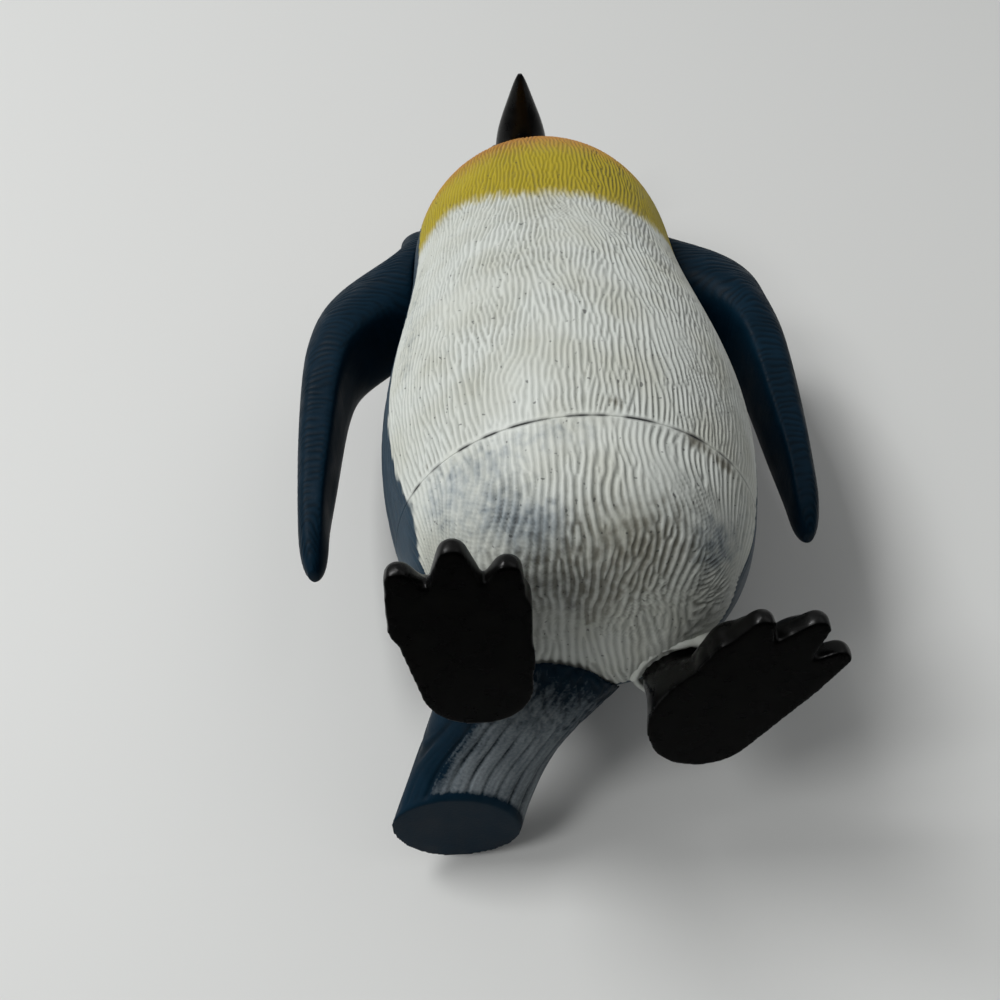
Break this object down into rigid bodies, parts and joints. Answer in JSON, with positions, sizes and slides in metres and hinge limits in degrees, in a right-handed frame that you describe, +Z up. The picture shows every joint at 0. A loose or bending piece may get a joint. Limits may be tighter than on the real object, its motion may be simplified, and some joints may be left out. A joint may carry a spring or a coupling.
{
  "type": "penguin figurine",
  "caption": "Standing penguin figurine of moulded soft plastic, with bent flippers, webbed feet that swivel on snap pegs, and a stub tail that rests on the ground.",
  "frame": {"origin": "on the ground, in the middle of the figure's bounding box", "axes": "+Z up along the standing body, beak and chest towards -Y, the figure's own left towards +X"},
  "size_m": [0.0844, 0.07, 0.15],
  "materials": {
    "body_paint": "white and yellow paint over blue vinyl, worn",
    "blue_vinyl": "satin, self-coloured",
    "black_vinyl": "satin",
    "black_gloss": "gloss"
  },
  "bodies": {
    "figure": {"upper_body": "body_paint", "lower_body": "body_paint", "tail": "blue_vinyl", "head": "black_vinyl", "beak": "black_gloss", "right_eye": "black_gloss", "left_eye": "black_gloss", "right_flipper": "blue_vinyl", "left_flipper": "blue_vinyl"},
    "right_foot_body": {"right_foot": "black_gloss"},
    "left_foot_body": {"left_foot": "black_gloss"}
  },
  "joints": [
    {"name": "right_foot_swivel", "type": "hinge", "parent": "figure", "child": "right_foot_body", "pos_m": [-0.01222, -0.00868, 0], "axis": [0, 0, 1], "range_deg": [-45, 45]},
    {"name": "left_foot_swivel", "type": "hinge", "parent": "figure", "child": "left_foot_body", "pos_m": [0.01467, 0.00219, 0], "axis": [0, 0, 1], "range_deg": [-45, 45]}
  ]
}
